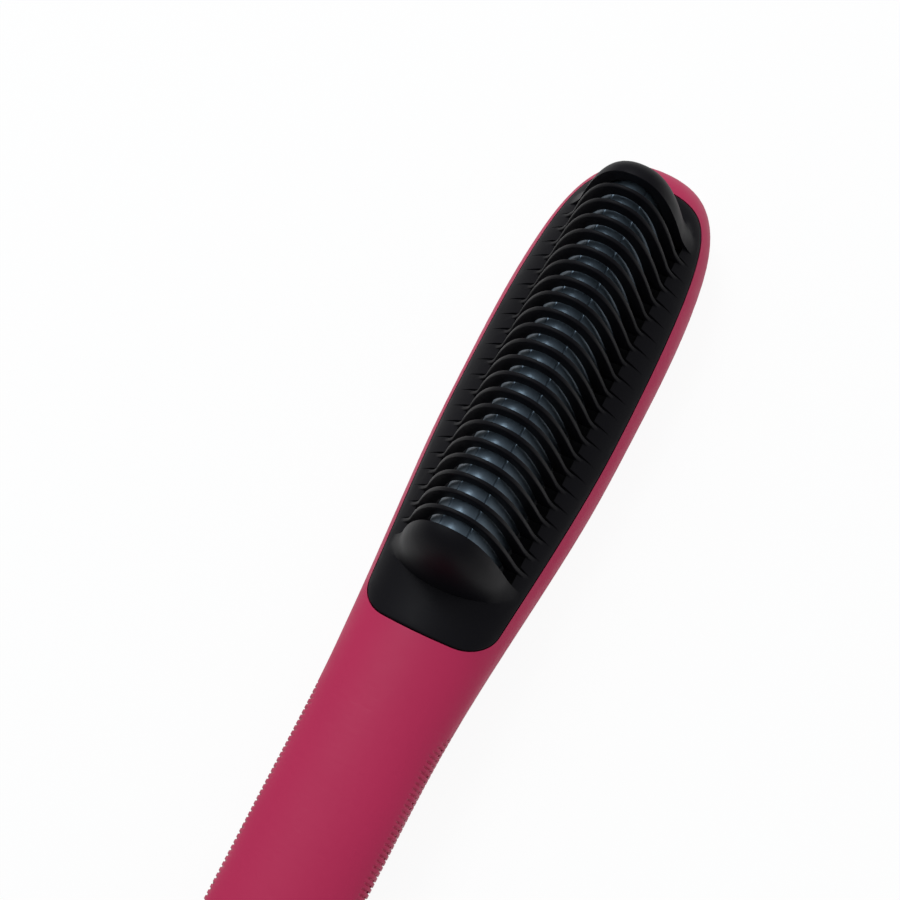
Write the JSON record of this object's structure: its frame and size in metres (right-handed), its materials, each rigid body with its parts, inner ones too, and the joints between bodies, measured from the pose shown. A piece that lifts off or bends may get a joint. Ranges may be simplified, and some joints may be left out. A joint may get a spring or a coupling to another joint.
{
  "type": "heated styling brush",
  "caption": "Heated styling brush with an arched comb over a coated heater, a straight two-shell handle, buttons and a display on the back, and a swivelling cord entry.",
  "frame": {"origin": "centre of the bounding box at its bottom, on the plane of the flat back", "axes": "+Y along the length towards the head's tip, +Z out of the back towards the comb, +X across the width"},
  "size_m": [0.0456, 0.275, 0.05],
  "materials": {
    "body_plastic": "satin crimson",
    "comb_plastic": "satin black",
    "heater_coating": "glossy blue-black ceramic coating",
    "heating_ceramic": "bare",
    "mica": "translucent brown sheet",
    "bar_aluminium": "extruded",
    "carrier_plastic": "glass-filled",
    "insulation": "woven glass",
    "screw_steel": "zinc plated",
    "fuse_can": "drawn can",
    "sensor_glass": "sealed bead",
    "board": "solder mask",
    "chip_plastic": "moulded",
    "capacitor_sleeve": "shrink sleeve",
    "fuse_glass": "clear",
    "coil_ferrite": "sintered",
    "display_black": "gloss",
    "window_glass": "smoked",
    "button_plastic": "fine matte",
    "plunger_plastic": "natural",
    "swivel_plastic": "fine matte",
    "contact_brass": "bright",
    "block_plastic": "natural",
    "heater_lead_cover": "silicone",
    "supply_lead_cover": "silicone"
  },
  "bodies": {
    "housing": {"front_shell": "body_plastic", "rear_shell": "body_plastic", "comb_frame": "comb_plastic", "comb_screws": "screw_steel", "shell_screws": "screw_steel", "heater_screws": "screw_steel", "board_screws": "screw_steel", "heater_bar": "heater_coating", "temperature_sensor": "sensor_glass", "ceramic_heater": "heating_ceramic", "mica_sheet": "mica", "pressure_bar": "bar_aluminium", "thermal_fuse": "fuse_can", "heater_carrier": "carrier_plastic", "insulation_sheet": "insulation", "main_board": "board", "control_chip": "chip_plastic", "power_capacitor": "capacitor_sleeve", "triac": "chip_plastic", "board_fuse": "fuse_glass", "filter_coil": "coil_ferrite", "display_module": "display_black", "display_window": "window_glass", "tact_switches": "chip_plastic", "contact_block": "block_plastic", "contact_springs": "contact_brass", "heater_leads": "heater_lead_cover", "supply_leads": "supply_lead_cover"},
    "plus_key": {"plus_button": "button_plastic", "plus_plunger": "plunger_plastic"},
    "minus_key": {"minus_button": "button_plastic", "minus_plunger": "plunger_plastic"},
    "power_key": {"power_button": "button_plastic", "power_plunger": "plunger_plastic"},
    "swivel": {"cord_swivel": "swivel_plastic", "contact_rings": "contact_brass"}
  },
  "joints": [
    {"name": "plus_press", "type": "slide", "parent": "housing", "child": "plus_key", "axis": [0, 0, 1], "range_m": [0, 0.0005], "stiffness_N_per_m": 1500, "springref_m": -0.0005},
    {"name": "minus_press", "type": "slide", "parent": "housing", "child": "minus_key", "axis": [0, 0, 1], "range_m": [0, 0.0005], "stiffness_N_per_m": 1500, "springref_m": -0.0005},
    {"name": "power_press", "type": "slide", "parent": "housing", "child": "power_key", "axis": [0, 0, 1], "range_m": [0, 0.0005], "stiffness_N_per_m": 1500, "springref_m": -0.0005},
    {"name": "cord_turn", "type": "hinge", "parent": "housing", "child": "swivel", "pos_m": [0, -0.1305, 0.016], "axis": [0, 1, 0], "continuous": true}
  ]
}
